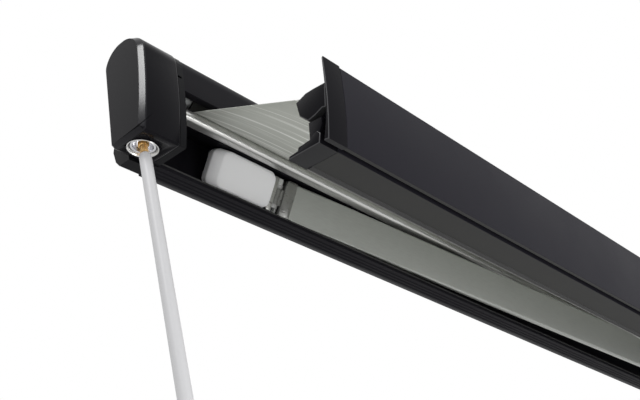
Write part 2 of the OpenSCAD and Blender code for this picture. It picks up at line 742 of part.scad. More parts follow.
// Fabric between the guide and the lead rail, and its tail between the guide and the roll
cloth_over = guide_r + gap;
slope = [cos(pitch), sin(pitch)];
square_up = [-sin(pitch), cos(pitch)];
guide_leave = guide_centre + cloth_over * square_up;
rail_joint = [panel_top[0] - 1.4 - opened_by * cos(pitch), 0];
function on_slope(y) = guide_leave + slope * (y - guide_leave[0]) / cos(pitch);
module fabric() {
  start = on_slope(-62);
  finish = on_slope(rail_joint[0]);
  color(cloth) along_x(fabric_x, roll_length)
    polygon(concat([finish], [start], [start + fabric_thickness * square_up],
                   [finish + fabric_thickness * square_up]));
}
module fabric_tail() {
  roll_foot = [-roller_reach, roller_height - wound_r - 1.2];
  start = on_slope(-62);
  color(cloth) along_x(fabric_x, roll_length)
    polygon(concat(wall(bend(start, on_slope(guide_centre[0] + 0.9), roll_foot, 0, 1, 8),
                        fabric_thickness)));
}

casing();
fabric_guide();
left_end_plate();
right_end_plate();
winder_cover();
idler_cover();
eye_collar();
roller_bushes();
support_blocks();
cover_screws();
lip_seal();
left_shoulder_bracket();
right_shoulder_bracket();
left_shoulder_cover();
right_shoulder_cover();
shoulder_pins();
bracket_screws();
roller_tube();
wound_fabric();
winder_plug();
idler_plug();
worm_wheel();
worm_shaft();
crank_hook();
crank_rod();
crank_bend();
rod_grip();
handle_grip();
left_upper_profile();
left_upper_knuckle();
left_elbow_fork();
left_elbow_pin();
left_fore_profile();
left_elbow_eye();
left_wrist_eye();
right_upper_profile();
right_upper_knuckle();
right_elbow_fork();
right_elbow_pin();
right_fore_profile();
right_elbow_eye();
right_wrist_eye();
lead_profile();
lead_cap_left();
lead_cap_right();
left_wrist_bracket();
right_wrist_bracket();
wrist_pins();
lip_strip();
fabric();
fabric_tail();
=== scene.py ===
# %% [markdown]
# # A roll out awning, dressed round its CAD model
# A wall cassette holds the wound fabric. Two folding arms push a lead rail out and keep the
# fabric taut, and a hand crank turns a worm gear at one end. The CAD model fixes every size
# and every joint, so this script only adds looks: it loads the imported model, replaces the
# plain solids that need finer shapes, and gives each surface a material.

import bmesh
import bpy
import json
import math
from mathutils import Matrix, Vector


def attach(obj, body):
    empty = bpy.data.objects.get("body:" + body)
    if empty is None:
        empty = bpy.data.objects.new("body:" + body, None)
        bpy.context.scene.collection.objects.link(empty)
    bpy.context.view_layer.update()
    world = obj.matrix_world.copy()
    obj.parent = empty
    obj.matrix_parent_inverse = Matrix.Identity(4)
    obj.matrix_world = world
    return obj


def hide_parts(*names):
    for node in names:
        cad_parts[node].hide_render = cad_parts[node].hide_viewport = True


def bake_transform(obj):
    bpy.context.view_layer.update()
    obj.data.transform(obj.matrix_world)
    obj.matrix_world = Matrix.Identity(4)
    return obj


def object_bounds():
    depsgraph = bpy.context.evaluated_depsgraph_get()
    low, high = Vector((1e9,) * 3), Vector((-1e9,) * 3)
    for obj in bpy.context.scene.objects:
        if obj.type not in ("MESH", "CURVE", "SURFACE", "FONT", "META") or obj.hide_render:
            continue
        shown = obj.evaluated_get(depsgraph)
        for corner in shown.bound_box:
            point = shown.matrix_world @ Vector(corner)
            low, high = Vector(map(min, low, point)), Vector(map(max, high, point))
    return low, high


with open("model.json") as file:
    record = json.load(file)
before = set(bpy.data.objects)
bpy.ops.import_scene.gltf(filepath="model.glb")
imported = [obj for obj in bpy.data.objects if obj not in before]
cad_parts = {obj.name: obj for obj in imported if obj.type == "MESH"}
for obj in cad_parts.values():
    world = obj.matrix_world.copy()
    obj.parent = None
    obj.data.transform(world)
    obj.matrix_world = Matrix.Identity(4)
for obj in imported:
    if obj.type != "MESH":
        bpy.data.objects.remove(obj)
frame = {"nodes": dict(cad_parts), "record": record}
nodes = frame["nodes"]
cad_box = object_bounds()
print("nodes", len(nodes), "box", [[round(c, 4) for c in p] for p in cad_box])

# %% [markdown]
# The photograph looks up at the crank's end from below, so the camera stands under the
# awning and to its left. Its lens follows from how fast the parallel edges run together.
# Working in millimetres keeps the numbers like those on a workshop drawing, and one factor
# turns them into Blender's metres.

# %% Camera
MM = 0.001
SENSOR_WIDTH = 36.0
FOCAL_LENGTH = 46.69
camera_data = bpy.data.cameras.new("camera")
camera_data.sensor_width = SENSOR_WIDTH
camera_data.lens = FOCAL_LENGTH
camera_data.clip_start = 0.01
camera = bpy.data.objects.new("camera", camera_data)
bpy.context.collection.objects.link(camera)
camera.location = (-1.6782, -0.7600, -0.5629)
camera.rotation_euler = (math.radians(119.364), 0.0, math.radians(-44.474))
bpy.context.scene.camera = camera
print("camera", tuple(round(c, 3) for c in camera.location))

# %% [markdown]
# Node trees are long when each node takes four lines. Two small helpers keep them readable:
# one makes a node with its plain values, the other draws several links at once.

# %% Node helpers
def add_node(tree, kind, values=None, operation=None):
    """A new node, with the plain values of its inputs and its operation."""
    made = tree.nodes.new(kind)
    if operation:
        made.operation = operation
    for socket, value in (values or {}).items():
        made.inputs[socket].default_value = value
    return made


def link(tree, *pairs):
    """Join each output with its input."""
    for output, socket in pairs:
        tree.links.new(output, socket)


print("node helpers ready")

# %% [markdown]
# A white world is what the camera and polished metal see, while a dimmer one lights the
# object. Light Path tells the kinds of ray apart. This keeps the background clean without
# flooding the dark extrusions with light.

# %% World
FILL_STRENGTH = 0.66
SEEN_STRENGTH = 1.0
PURE_WHITE = (1.0, 1.0, 1.0, 1.0)
world = bpy.data.worlds.new("studio")
bpy.context.scene.world = world
world.use_nodes = True
sky = world.node_tree
sky.nodes.clear()
fill = add_node(sky, "ShaderNodeBackground", {"Color": PURE_WHITE, "Strength": FILL_STRENGTH})
seen = add_node(sky, "ShaderNodeBackground", {"Color": PURE_WHITE, "Strength": SEEN_STRENGTH})
rays = add_node(sky, "ShaderNodeLightPath").outputs
direct = add_node(sky, "ShaderNodeMath", operation="MAXIMUM")
shown = add_node(sky, "ShaderNodeMath", operation="MAXIMUM")
mix = add_node(sky, "ShaderNodeMixShader")
sky_out = add_node(sky, "ShaderNodeOutputWorld")
link(
    sky,
    (rays["Is Camera Ray"], direct.inputs[0]),
    (rays["Is Glossy Ray"], direct.inputs[1]),
    (direct.outputs[0], shown.inputs[0]),
    (rays["Is Transmission Ray"], shown.inputs[1]),
    (shown.outputs[0], mix.inputs["Fac"]),
    (fill.outputs[0], mix.inputs[1]),
    (seen.outputs[0], mix.inputs[2]),
    (mix.outputs[0], sky_out.inputs["Surface"]),
)
bpy.context.scene.view_settings.view_transform = "Standard"
print("world strength", FILL_STRENGTH)

# %% [markdown]
# Soft boxes are large area lamps. One in front and above shapes the lead rail, one low on
# the crank's side lights the underside, one far along lights the arms, and a small one
# lights the pale moulding at the shoulder. A helper turns each towards the spot it lights.

# %% Lamps
def soft_box(name, place, aim, size, power):
    """A rectangular lamp at `place` that looks at `aim`, with its size in metres and watts."""
    lamp = bpy.data.lights.new(name, "AREA")
    lamp.shape = "RECTANGLE"
    lamp.size, lamp.size_y = size
    lamp.energy = power
    lamp_object = bpy.data.objects.new(name, lamp)
    bpy.context.collection.objects.link(lamp_object)
    lamp_object.location = place
    towards = Vector(aim) - Vector(place)
    lamp_object.rotation_euler = towards.to_track_quat("-Z", "Y").to_euler()
    return lamp_object


soft_box("front_box", (-1.6, -3.2, 1.0), (-0.9, 0.0, 0.0), (2.4, 1.6), 30.0)
soft_box("low_box", (-4.2, -2.0, -2.1), (-1.2, 0.0, 0.0), (2.2, 2.2), 46.0)
soft_box("far_box", (1.6, -2.6, -0.6), (0.2, 0.0, 0.0), (2.0, 1.4), 26.0)
soft_box("shoulder_box", (-0.72, -1.1, -0.75), (-1.1, -0.05, -0.02), (0.5, 0.4), 4.4)
print("lamps", len(bpy.data.lights))

# %% [markdown]
# The bright line down the end cover is one lamp's mirror image in the rounded edge. For the
# line to be long and narrow, the lamp's long side has to run along the edge as the mirror
# shows it. So this lamp is turned by its own axes: one along its long side, one away from
# the object, and the third square to both.

# %% Lamp for the cover's edge
EDGE_PLACE = (-2.8, -0.3, 2.1)
EDGE_AIM = (-1.3, -0.1, 0.03)
edge_box = soft_box("edge_box", EDGE_PLACE, EDGE_AIM, (0.9, 0.34), 26.0)
away = Vector((-1.5, -0.2, 2.07)).normalized()
long_side = Vector((0.6, 0.64, 0.48))
long_side = (long_side - away * long_side.dot(away)).normalized()
turned_axes = Matrix((long_side, away.cross(long_side), away)).transposed()
edge_box.rotation_euler = turned_axes.to_euler()
print("edge lamp", tuple(round(math.degrees(a)) for a in edge_box.rotation_euler))

# %% [markdown]
# ## Shader groups
# Powder coat, moulded plastic and cast metal all have a fine grain that breaks up their
# gloss. One node group makes it from noise: it puts out a height for a Bump node and a mask
# for roughness and colour, and each material places the group with its own scale.

# %% Group: fine grain
def new_group(name, inputs, outputs):
    """An empty group with number inputs and outputs, and its two end nodes."""
    group = bpy.data.node_groups.new(name, "ShaderNodeTree")
    for label, value in inputs:
        socket = group.interface.new_socket(label, in_out="INPUT", socket_type="NodeSocketFloat")
        socket.default_value = value
    for label in outputs:
        group.interface.new_socket(label, in_out="OUTPUT", socket_type="NodeSocketFloat")
    return group, add_node(group, "NodeGroupInput"), add_node(group, "NodeGroupOutput")


grain, given, result = new_group(
    "fine_grain", [("Scale", 1200.0), ("Detail", 3.0)], ["Height", "Mask"]
)
place = add_node(grain, "ShaderNodeTexCoord").outputs["Object"]
speck = add_node(grain, "ShaderNodeTexNoise")
cloud = add_node(grain, "ShaderNodeTexNoise", {"Scale": 14.0, "Detail": 4.0})
half_cloud = add_node(grain, "ShaderNodeMath", {1: 0.5}, "MULTIPLY")
both = add_node(grain, "ShaderNodeMath", {1: 0.5}, "MULTIPLY_ADD")
link(
    grain,
    (place, speck.inputs["Vector"]),
    (place, cloud.inputs["Vector"]),
    (given.outputs["Scale"], speck.inputs["Scale"]),
    (given.outputs["Detail"], speck.inputs["Detail"]),
    (speck.outputs["Fac"], result.inputs["Height"]),
    (cloud.outputs["Fac"], half_cloud.inputs[0]),
    (speck.outputs["Fac"], both.inputs[0]),
    (half_cloud.outputs[0], both.inputs[2]),
    (both.outputs[0], result.inputs["Mask"]),
)
print("group", grain.name)

# %% [markdown]
# Extruded aluminium keeps faint lines from the die, all along its length. Noise that is
# stretched a few hundred times along X gives them, and drives both the bump and the
# roughness. On this awning every extrusion runs along X, so object coordinates serve.

# %% Group: die lines
lines, given, result = new_group(
    "die_lines", [("Fineness", 900.0), ("Stretch", 0.004)], ["Height", "Mask"]
)
place = add_node(lines, "ShaderNodeTexCoord").outputs["Object"]
split = add_node(lines, "ShaderNodeSeparateXYZ")
shrink = add_node(lines, "ShaderNodeMath", operation="MULTIPLY")
join = add_node(lines, "ShaderNodeCombineXYZ")
streak = add_node(lines, "ShaderNodeTexNoise", {"Detail": 2.0})
link(
    lines,
    (place, split.inputs[0]),
    (split.outputs["X"], shrink.inputs[0]),
    (given.outputs["Stretch"], shrink.inputs[1]),
    (shrink.outputs[0], join.inputs["X"]),
    (split.outputs["Y"], join.inputs["Y"]),
    (split.outputs["Z"], join.inputs["Z"]),
    (join.outputs[0], streak.inputs["Vector"]),
    (given.outputs["Fineness"], streak.inputs["Scale"]),
    (streak.outputs["Fac"], result.inputs["Height"]),
    (streak.outputs["Fac"], result.inputs["Mask"]),
)
print("group", lines.name)

# %% [markdown]
# ## Materials
# A helper starts each material with a Principled shader and sets its plain values on the
# shader's own sockets. A second helper places a group in it: the group's mask moves the
# colour between two tones and the roughness between two values, and its height goes to a
# Bump node.

# %% Material helpers
BUMP_DEPTH = 0.0002
MASK_RANGE = (0.3, 0.7)


def new_material(name, color, roughness, metallic=0.0, specular=0.5):
    """A Principled material with its plain values set on the shader."""
    material = bpy.data.materials.new(name)
    material.use_nodes = True
    shader = material.node_tree.nodes["Principled BSDF"]
    shader.inputs["Base Color"].default_value = (*color, 1.0)
    shader.inputs["Roughness"].default_value = roughness
    shader.inputs["Metallic"].default_value = metallic
    shader.inputs["Specular IOR Level"].default_value = specular
    material.diffuse_color = (*color, 1.0)
    return material


def texture_with(material, group, values, tones, rough, bump, depth=BUMP_DEPTH):
    """Place a group in a material: two tones, two roughnesses and a bump follow it."""
    tree = material.node_tree
    shader = tree.nodes["Principled BSDF"]
    source = add_node(tree, "ShaderNodeGroup")
    source.node_tree = group
    for label, value in values.items():
        source.inputs[label].default_value = value
    blend = add_node(tree, "ShaderNodeMix")
    blend.data_type = "RGBA"
    blend.inputs[6].default_value = (*tones[0], 1.0)
    blend.inputs[7].default_value = (*tones[1], 1.0)
    spread = add_node(tree, "ShaderNodeMapRange", {
        "From Min": MASK_RANGE[0], "From Max": MASK_RANGE[1],
        "To Min": rough[0], "To Max": rough[1],
    })
    relief = add_node(tree, "ShaderNodeBump", {"Strength": bump, "Distance": depth})
    link(
        tree,
        (source.outputs["Mask"], blend.inputs[0]),
        (blend.outputs[2], shader.inputs["Base Color"]),
        (source.outputs["Mask"], spread.inputs["Value"]),
        (spread.outputs["Result"], shader.inputs["Roughness"]),
        (source.outputs["Height"], relief.inputs["Height"]),
        (relief.outputs["Normal"], shader.inputs["Normal"]),
    )
    return material


print("material helpers ready")

# %% [markdown]
# The casing and the lead rail are powder coated in anthracite: almost black, faintly blue,
# with a satin gloss and a grain that shows only close up. A dark finish looks grey as soon
# as it mirrors the white studio, so its specular level stays low.

# %% Finish: powder coats
ANTHRACITE = texture_with(
    new_material("anthracite_powder_coat", (0.02, 0.019, 0.025), 0.42, specular=0.045),
    grain, {"Scale": 1500.0}, ((0.0105, 0.01, 0.0135), (0.015, 0.0143, 0.019)),
    (0.36, 0.5), 0.25)
CASING_COAT = texture_with(
    new_material("casing_powder_coat", (0.008, 0.0078, 0.009), 0.45, specular=0.03),
    grain, {"Scale": 1500.0}, ((0.006, 0.0058, 0.007), (0.0095, 0.009, 0.0115)),
    (0.38, 0.52), 0.25)
# The rail's underside is matt, and its lighter colour is painted light from below.
UNDERSIDE_PAINTED_LIGHT = texture_with(
    new_material("matt_underside_painted_light", (0.032, 0.032, 0.031), 0.6, specular=0.1),
    grain, {"Scale": 900.0}, ((0.026, 0.026, 0.025), (0.038, 0.038, 0.037)),
    (0.55, 0.7), 0.4)
print("coats", ANTHRACITE.name, CASING_COAT.name, UNDERSIDE_PAINTED_LIGHT.name)

# %% [markdown]
# The fabric guide and the arms are anodised aluminium with die lines. They are not set fully
# metallic: the oxide layer scatters some light, and that keeps them pale from every side.
# The strap and the band at the arm's root are folded and pressed sheet, and the knuckles and
# forks are castings with a coarser grain.

# %% Finish: aluminium
SHEET_BUMP_DEPTH = 0.000004
SILVER = texture_with(
    new_material("bright_anodised", (0.62, 0.62, 0.6), 0.28, metallic=0.82),
    lines, {"Fineness": 1100.0}, ((0.6, 0.6, 0.585), (0.66, 0.66, 0.64)),
    (0.27, 0.3), 0.01)
ARM = texture_with(
    new_material("arm_anodised", (0.36, 0.37, 0.345), 0.42, metallic=0.6),
    lines, {"Fineness": 700.0}, ((0.32, 0.332, 0.31), (0.4, 0.41, 0.385)),
    (0.36, 0.48), 0.03)
CAST = texture_with(
    new_material("cast_aluminium", (0.5, 0.5, 0.5), 0.35, metallic=1.0),
    grain, {"Scale": 500.0}, ((0.42, 0.42, 0.42), (0.56, 0.56, 0.56)),
    (0.28, 0.5), 0.5)
BAND = texture_with(
    new_material("clamp_band", (0.3, 0.3, 0.29), 0.26, metallic=0.9),
    lines, {"Fineness": 500.0}, ((0.27, 0.27, 0.26), (0.33, 0.33, 0.32)),
    (0.26, 0.34), 0.01, SHEET_BUMP_DEPTH)
STRAP = texture_with(
    new_material("folded_strap", (0.42, 0.42, 0.4), 0.32, metallic=0.75),
    lines, {"Fineness": 500.0}, ((0.38, 0.38, 0.36), (0.46, 0.46, 0.44)),
    (0.26, 0.38), 0.01, SHEET_BUMP_DEPTH)
print("aluminium", SILVER.name, ARM.name, CAST.name, BAND.name, STRAP.name)

# %% [markdown]
# The mouldings are plastic: a smooth black cowl at each end, black caps on the rail and a
# pale cover at each shoulder. The cowl's rounded edge is more polished than its faces, so
# it has a finish of its own. The caps' edges are a lighter grey as a painted highlight, and
# their undersides a lighter, rougher black with painted light from below.

# %% Finish: mouldings
EDGE_BUMP_DEPTH = 0.00001
BLACK = texture_with(
    new_material("black_moulding", (0.008, 0.008, 0.009), 0.28, specular=0.035),
    grain, {"Scale": 2600.0}, ((0.006, 0.006, 0.007), (0.01, 0.01, 0.011)),
    (0.26, 0.38), 0.12)
PALE = texture_with(
    new_material("pale_moulding", (0.84, 0.84, 0.85), 0.45),
    grain, {"Scale": 2200.0}, ((0.82, 0.82, 0.83), (0.87, 0.87, 0.88)),
    (0.4, 0.52), 0.15)
COWL = texture_with(
    new_material("satin_cowl", (0.007, 0.0068, 0.008), 0.22, specular=0.035),
    grain, {"Scale": 2200.0}, ((0.005, 0.0048, 0.006), (0.0075, 0.0072, 0.009)),
    (0.18, 0.26), 0.08)
COWL_EDGE = texture_with(
    new_material("polished_cowl", (0.006, 0.0058, 0.008), 0.16, specular=0.16),
    grain, {"Scale": 2200.0}, ((0.005, 0.0048, 0.007), (0.0075, 0.0072, 0.0095)),
    (0.17, 0.2), 0.01, EDGE_BUMP_DEPTH)
# The caps' lighter edge colour is a painted highlight; the lighter underside colour is painted
# light from below.
CAP_EDGE_HIGHLIGHT = texture_with(
    new_material("cap_edge_painted_highlight", (0.05, 0.05, 0.053), 0.3, specular=0.2),
    grain, {"Scale": 1800.0}, ((0.045, 0.045, 0.048), (0.055, 0.055, 0.058)),
    (0.28, 0.34), 0.02, EDGE_BUMP_DEPTH)
CAP_UNDER_PAINTED_LIGHT = texture_with(
    new_material("cap_underside_painted_light", (0.024, 0.024, 0.025), 0.5, specular=0.08),
    grain, {"Scale": 1800.0}, ((0.021, 0.021, 0.022), (0.027, 0.027, 0.028)),
    (0.44, 0.56), 0.1)
RUBBER = texture_with(
    new_material("seal_rubber", (0.02, 0.02, 0.02), 0.8),
    grain, {"Scale": 900.0}, ((0.016, 0.016, 0.016), (0.026, 0.026, 0.026)),
    (0.7, 0.9), 0.3)
print("mouldings", BLACK.name, PALE.name, COWL.name, RUBBER.name)

# %% [markdown]
# Pins and screws are polished steel, the crank's eye is a bright pressing, the roller tube is
# galvanised, and the crank's hook is brass. They differ in colour, roughness and the size of
# the grain. The rod is enamelled white. White clips easily in a bright studio, so its tone
# is a light grey, and the lamps make it white.

# %% Finish: steel, brass and enamel
STEEL = texture_with(
    new_material("polished_steel", (0.72, 0.72, 0.74), 0.12, metallic=1.0),
    grain, {"Scale": 400.0}, ((0.68, 0.68, 0.7), (0.76, 0.76, 0.78)),
    (0.08, 0.2), 0.05)
EYE = texture_with(
    new_material("bright_eye", (0.66, 0.66, 0.65), 0.28, metallic=0.85),
    grain, {"Scale": 500.0}, ((0.62, 0.62, 0.61), (0.7, 0.7, 0.69)),
    (0.25, 0.35), 0.03)
TUBE = texture_with(
    new_material("galvanised_tube", (0.55, 0.56, 0.58), 0.4, metallic=1.0),
    grain, {"Scale": 90.0}, ((0.48, 0.49, 0.51), (0.62, 0.63, 0.65)),
    (0.32, 0.52), 0.1)
BRASS = texture_with(
    new_material("hook_brass", (0.8, 0.5, 0.2), 0.25, metallic=0.7),
    grain, {"Scale": 600.0}, ((0.72, 0.42, 0.14), (0.88, 0.58, 0.24)),
    (0.14, 0.3), 0.1)
WHITE = texture_with(
    new_material("white_enamel", (0.56, 0.56, 0.57), 0.4, specular=0.3),
    grain, {"Scale": 700.0}, ((0.5, 0.5, 0.51), (0.55, 0.55, 0.56)),
    (0.34, 0.46), 0.08)
print("materials", len(bpy.data.materials))

# %% [markdown]
# The fabric is a woven acrylic in a light grey, with fine lighter streaks of thread. The
# streaks run along the awning and curl towards the wall just before its ends. Noise that is
# stretched along X makes them. To curl them, the Y that the noise reads is moved by a term
# that grows steeply near each end.

# %% Fabric streaks
FABRIC_EDGE = 1.221
CURL_RATE = -22.0
CURL_DEPTH = 0.045
STREAK_STRETCH = 3.0
STREAK_FINENESS = 170.0
CLOTH = new_material("woven_stripe", (0.27, 0.28, 0.25), 0.85, specular=0.2)
cloth_tree = CLOTH.node_tree
cloth_shader = cloth_tree.nodes["Principled BSDF"]
cloth_shader.inputs["Sheen Weight"].default_value = 0.15


def reckon(operation, first, second=None):
    """A Math node of the fabric; its inputs are sockets or numbers."""
    step = add_node(cloth_tree, "ShaderNodeMath", operation=operation)
    for socket, value in zip(step.inputs, (first, second)):
        if isinstance(value, float):
            socket.default_value = value
        elif value is not None:
            cloth_tree.links.new(value, socket)
    return step.outputs[0]


on_cloth = add_node(cloth_tree, "ShaderNodeTexCoord").outputs["Object"]
parts = add_node(cloth_tree, "ShaderNodeSeparateXYZ")
cloth_tree.links.new(on_cloth, parts.inputs[0])
from_edge = reckon("SUBTRACT", FABRIC_EDGE, reckon("ABSOLUTE", parts.outputs["X"]))
curl = reckon("EXPONENT", reckon("MULTIPLY", from_edge, CURL_RATE))
across = reckon("SUBTRACT", parts.outputs["Y"], reckon("MULTIPLY", curl, CURL_DEPTH))
stretched = add_node(cloth_tree, "ShaderNodeCombineXYZ")
streaks = add_node(
    cloth_tree, "ShaderNodeTexNoise", {"Scale": 1.0, "Detail": 4.0, "Roughness": 0.65}
)
ramp = add_node(cloth_tree, "ShaderNodeValToRGB")
dark, light = ramp.color_ramp.elements
dark.position, dark.color = 0.53, (0.46, 0.475, 0.43, 1.0)
light.position, light.color = 0.66, (0.8, 0.81, 0.77, 1.0)
link(
    cloth_tree,
    (reckon("MULTIPLY", parts.outputs["X"], STREAK_STRETCH), stretched.inputs["X"]),
    (reckon("MULTIPLY", across, STREAK_FINENESS), stretched.inputs["Y"]),
    (stretched.outputs[0], streaks.inputs["Vector"]),
    (streaks.outputs["Fac"], ramp.inputs["Fac"]),
    (ramp.outputs["Color"], cloth_shader.inputs["Base Color"]),
)
print("streaks ready")

# %% [markdown]
# The weave itself is two waves, one for the warp and one for the weft. The higher of the two
# lies on top, as in a plain weave, and it only drives the bump, because the threads are too
# fine to show as colour.

# %% Fabric weave
THREADS = 420.0
warp = add_node(cloth_tree, "ShaderNodeTexWave", {"Scale": THREADS})
warp.bands_direction = "X"
weft = add_node(cloth_tree, "ShaderNodeTexWave", {"Scale": THREADS})
weft.bands_direction = "Y"
weave = add_node(cloth_tree, "ShaderNodeMath", operation="MAXIMUM")
relief = add_node(cloth_tree, "ShaderNodeBump", {"Strength": 0.3, "Distance": 0.0003})
link(
    cloth_tree,
    (on_cloth, warp.inputs["Vector"]),
    (on_cloth, weft.inputs["Vector"]),
    (warp.outputs["Fac"], weave.inputs[0]),
    (weft.outputs["Fac"], weave.inputs[1]),
    (weave.outputs[0], relief.inputs["Height"]),
    (relief.outputs["Normal"], cloth_shader.inputs["Normal"]),
)
print("fabric ready")

# %% [markdown]
# The roll is coloured a dark charcoal: painted shade, for the roll lies unlit deep in the
# cassette.
# Its winding lines come from the die lines' group, with a coarser scale.
# The die lines' group serves for these too, with a coarser scale.

# %% Wound fabric
ROLL_PAINTED_SHADE = texture_with(
    new_material("roll_painted_shade", (0.06, 0.06, 0.058), 0.9, specular=0.1),
    lines, {"Fineness": 260.0, "Stretch": 0.02}, ((0.045, 0.045, 0.043), (0.08, 0.08, 0.077)),
    (0.85, 0.95), 0.2)
print("roll ready")

# %% [markdown]
# ## The CAD nodes that stay
# Where a solid already has the right shape, it keeps it, and only its material slots are
# filled. The record says which finish each node has, so one table from finish to material
# dresses them all. A narrow bevel modifier rounds the machined edges so that they catch
# the light. The long profiles and the castings do without: a bevel leaves specks where
# their faces meet at a shallow angle.

# %% Dress the CAD nodes
FINISH = {
    "anthracite_aluminium": ANTHRACITE, "bright_aluminium": SILVER, "arm_aluminium": ARM,
    "cast_aluminium": CAST, "black_plastic": BLACK, "pale_plastic": PALE, "seal_rubber": RUBBER,
    "polished_steel": STEEL, "tube_steel": TUBE, "hook_brass": BRASS, "white_tube": WHITE,
    "awning_fabric": CLOTH,
}
UNBEVELLED = ("profile", "knuckle", "fork", "_eye")
SIDES = ((1, "left"), (-1, "right"))


def round_edges(piece, name, width, segments, angle):
    """A bevel modifier on the edges that are sharper than the angle, width in millimetres."""
    edge = piece.modifiers.new(name, "BEVEL")
    edge.width = width * MM
    edge.segments = segments
    edge.limit_method = "ANGLE"
    edge.angle_limit = math.radians(angle)
    return piece


for part in frame["record"]["subparts"]:
    node = nodes[part["node"]]
    node.data.materials.clear()
    node.data.materials.append(FINISH[part["material_slot"]])
    if not part["node"].endswith(UNBEVELLED):
        round_edges(node, "worn_edge", 0.4, 2, 35.0)
# The roll's dark colour is painted shade for the unlit inside of the cassette.
nodes["wound_fabric"].data.materials[0] = ROLL_PAINTED_SHADE
for _, name in SIDES:
    nodes[f"{name}_upper_knuckle"].data.materials[0] = BAND

# %% [markdown]
# ## Sections
# An extrusion is one outline that is swept along X. The outlines come from the CAD model's
# own curves with more points, so the finer surface lies where the solid lies. An outline is
# a list of (y, z) pairs in millimetres.

# %% Curves for sections
def bend(a, b, c, t0, t1, n):
    """Points of a quadratic curve between the parameters t0 and t1."""
    points = []
    for i in range(n + 1):
        t = t0 + (t1 - t0) * i / n
        near, middle, far = (1 - t) ** 2, 2 * t * (1 - t), t * t
        points.append(tuple(near * a[k] + middle * b[k] + far * c[k] for k in (0, 1)))
    return points


def arc(centre, r, a0, a1, n):
    """Points round a centre, from one angle to another in degrees."""
    return [
        (centre[0] + r * math.cos(math.radians(a0 + (a1 - a0) * i / n)),
         centre[1] + r * math.sin(math.radians(a0 + (a1 - a0) * i / n)))
        for i in range(n + 1)
    ]


def beside(path, d, closed=False):
    """The path moved to its own left by d, with mitred corners."""
    moved = []
    count = len(path)
    for i, p in enumerate(path):
        before = path[i - 1] if (closed or i > 0) else None
        after = path[(i + 1) % count] if (closed or i < count - 1) else None
        normals = []
        for a, b in ((before, p), (p, after)):
            if a is not None and b is not None:
                v = Vector((b[0] - a[0], b[1] - a[1])).normalized()
                normals.append(Vector((-v.y, v.x)))
        m, n = normals[0], normals[-1]
        step = (m + n) * (d / (1 + m.dot(n)))
        moved.append((p[0] + step.x, p[1] + step.y))
    return moved


def inside(outline, d):
    """A closed outline moved inwards by d, whichever way round it runs."""
    area = sum(a[0] * b[1] - b[0] * a[1] for a, b in zip(outline, outline[1:] + outline[:1]))
    return beside(outline, d if area > 0 else -d, closed=True)


def wall(path, thickness):
    """A closed outline that follows the path and comes back beside it."""
    return list(path) + beside(path, thickness)[::-1]


print("curves ready")

# %% [markdown]
# A solid through several loops of points is made by joining each loop to the next with
# faces and closing both ends. Normals are then made to face outwards, and edges sharper
# than an angle stay crisp while the rest is shaded smooth.

# %% Loft helpers
def mesh_object(name, bm, material, smooth_angle=30.0):
    """Turn a bmesh into an object with one material and smooth shading."""
    bmesh.ops.remove_doubles(bm, verts=bm.verts, dist=1e-7)
    bmesh.ops.recalc_face_normals(bm, faces=bm.faces)
    mesh = bpy.data.meshes.new(name)
    bm.to_mesh(mesh)
    bm.free()
    mesh.shade_smooth()
    mesh.set_sharp_from_angle(angle=math.radians(smooth_angle))
    mesh.materials.append(material)
    piece = bpy.data.objects.new(name, mesh)
    bpy.context.collection.objects.link(piece)
    return piece


def bridge(bm, first, second):
    """Faces between two closed loops with the same number of points."""
    for i in range(len(first)):
        j = (i + 1) % len(first)
        bm.faces.new((first[i], first[j], second[j], second[i]))


def loft(name, loops, material, smooth_angle=35.0):
    """A closed solid through loops of 3-D points, with the same number of points each."""
    bm = bmesh.new()
    made = [[bm.verts.new(point) for point in loop] for loop in loops]
    for first, second in zip(made, made[1:]):
        bridge(bm, first, second)
    bm.faces.new(made[0])
    bm.faces.new(made[-1])
    return mesh_object(name, bm, material, smooth_angle)


def sweep(name, rings, material, smooth_angle=30.0):
    """A closed solid through rings, each given as (x, outline)."""
    loops = [[(x * MM, y * MM, z * MM) for y, z in outline] for x, outline in rings]
    return loft(name, loops, material, smooth_angle)


def extrude(name, outline, end, material, smooth_angle=30.0):
    """One outline from x = end to its mirror place."""
    return sweep(name, [(end, outline), (-end, outline)], material, smooth_angle)


print("loft helpers ready")

# %% [markdown]
# Every new piece is given the CAD node that it stands for, if there is one, and the body
# that it rides on. With these a piece moves with its joint, and the solid under it is hidden.

# %% Helpers for pieces
def stand_for(piece, body, slot, *names):
    """Attach a piece to its body, and hide the nodes that it replaces. The slot is not used."""
    if names:
        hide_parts(*names)
    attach(piece, body)
    print(piece.name, len(piece.data.vertices), "vertices")
    return piece


def finish_where(piece, material, chosen):
    """Give the faces whose normal passes the test one more material."""
    piece.data.materials.append(material)
    slot = len(piece.data.materials) - 1
    for face in piece.data.polygons:
        if chosen(face.normal):
            face.material_index = slot


def bright_edge(normal):
    """Faces between a piece's end and its sides."""
    return 0.25 < abs(normal.x) < 0.93


def faces_down(normal):
    return normal.z < -0.9


print("piece helpers ready")

# %% [markdown]
# ## Cassette casing
# A full cassette is a long box with a rounded top and a cover at each end. The casing and the
# covers share its curves, so these are named once, as on a drawing, and both follow them.

